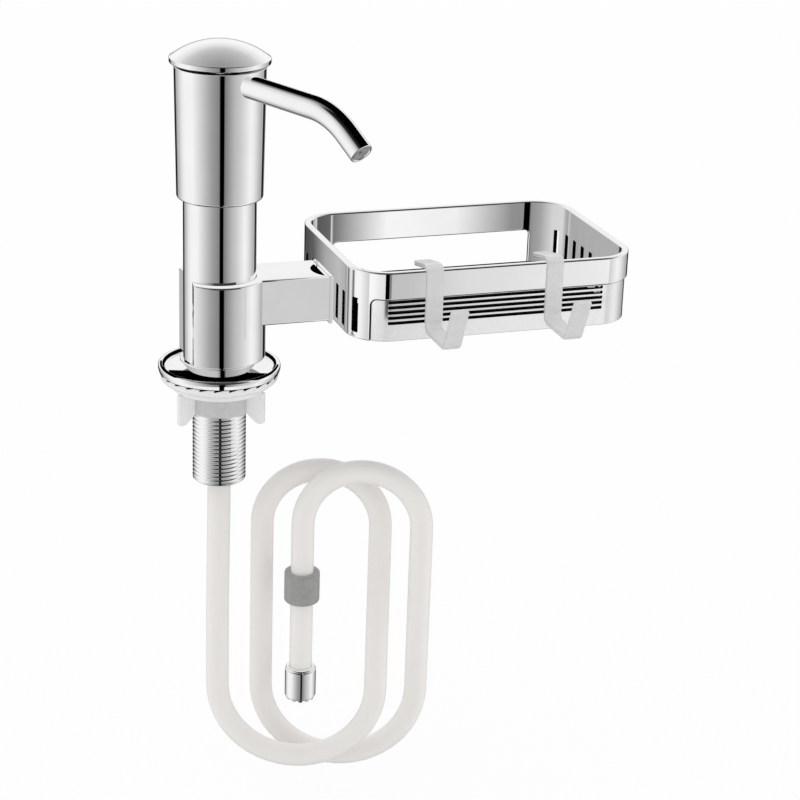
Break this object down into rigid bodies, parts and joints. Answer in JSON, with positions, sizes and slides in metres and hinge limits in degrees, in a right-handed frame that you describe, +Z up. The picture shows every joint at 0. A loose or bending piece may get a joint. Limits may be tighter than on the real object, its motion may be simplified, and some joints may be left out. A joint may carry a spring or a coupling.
{
  "type": "soap pump caddy",
  "caption": "Deck-mounted soap pump with a swivelling curved spout, a clip-on slotted basket with hooks, and a long feed hose with a foot valve.",
  "frame": {"origin": "on the barrel's axis, at the deck's upper face under the flange", "axes": "+Z up along the barrel, +X from the barrel to the basket, so the hooks are on the -Y side"},
  "size_m": [0.1976, 0.1249, 0.3335],
  "materials": {
    "chrome": "polished",
    "white_plastic": "satin",
    "natural_plastic": "satin",
    "frosted_plastic": "frosted",
    "grey_plastic": "matte",
    "dark_plastic": "satin",
    "hose": "satin, slightly translucent",
    "black_rubber": "matte",
    "steel": "bright"
  },
  "bodies": {
    "base": {"deck_flange": "chrome", "flange_gasket": "black_rubber", "barrel_foot": "chrome", "barrel": "chrome", "threaded_shank": "chrome", "pump_cylinder": "white_plastic", "guide_bush": "natural_plastic", "inlet_fitting": "natural_plastic", "ball_cage": "natural_plastic", "return_spring": "steel", "hose_riser": "hose", "hose_drop": "hose", "hose_coil": "hose", "hose_tail": "hose", "valve_body": "chrome", "valve_strainer": "steel"},
    "piston": {"piston_stem": "natural_plastic", "piston_seal": "black_rubber"},
    "head": {"head_core": "white_plastic", "head_sleeve": "chrome", "head_cap": "chrome", "spout_tube": "chrome", "spout_nozzle": "grey_plastic"},
    "inlet_check": {"inlet_ball": "steel"},
    "outlet_check": {"outlet_ball": "steel"},
    "foot_check": {"valve_ball": "steel"},
    "caddy": {"clip_ring": "chrome", "caddy_arm": "chrome", "arm_plate": "chrome", "arm_screws": "steel", "basket_frame": "chrome", "front_panel": "chrome", "basket_floor": "dark_plastic"},
    "left_hook": {"hook_left": "frosted_plastic"},
    "right_hook": {"hook_right": "frosted_plastic"},
    "toothed_ring": {"lock_ring": "white_plastic"},
    "nut": {"wing_nut": "white_plastic"},
    "stop": {"hose_stop": "grey_plastic"}
  },
  "joints": [
    {"name": "pump_press", "type": "slide", "parent": "base", "child": "piston", "axis": [0, 0, -1], "range_m": [0, 0.018], "stiffness_N_per_m": 400, "springref_m": -0.01, "deforming": ["return_spring"]},
    {"name": "head_swivel", "type": "hinge", "parent": "piston", "child": "head", "pos_m": [0, 0, 0.121], "axis": [0, 0, 1], "continuous": true},
    {"name": "inlet_ball_lift", "type": "slide", "parent": "base", "child": "inlet_check", "axis": [0, 0, 1], "range_m": [0, 0.0015]},
    {"name": "outlet_ball_lift", "type": "slide", "parent": "piston", "child": "outlet_check", "axis": [0, 0, 1], "range_m": [0, 0.0015]},
    {"name": "foot_ball_lift", "type": "slide", "parent": "base", "child": "foot_check", "axis": [0, 0, 1], "range_m": [0, 0.0015]},
    {"name": "caddy_swivel", "type": "hinge", "parent": "base", "child": "caddy", "pos_m": [0, 0, 0.0245], "axis": [0, 0, 1], "continuous": true},
    {"name": "left_hook_slide", "type": "slide", "parent": "caddy", "child": "left_hook", "axis": [1, 0, 0], "range_m": [-0.012, 0.02]},
    {"name": "right_hook_slide", "type": "slide", "parent": "caddy", "child": "right_hook", "axis": [1, 0, 0], "range_m": [-0.024, 0.019]},
    {"name": "ring_travel", "type": "slide", "parent": "base", "child": "toothed_ring", "axis": [0, 0, 1], "range_m": [-0.02176, 0]},
    {"name": "nut_spin", "type": "hinge", "parent": "toothed_ring", "child": "nut", "pos_m": [0, 0, -0.0101], "axis": [0, 0, 1], "range_deg": [-4320, 0]},
    {"name": "stop_slide", "type": "slide", "parent": "base", "child": "stop", "axis": [0, 0, 1], "range_m": [-0.032, 0.011]}
  ],
  "couplings": [
    {"joint": "nut_spin", "follows": "ring_travel", "rad_per_m": 3463.7}
  ]
}
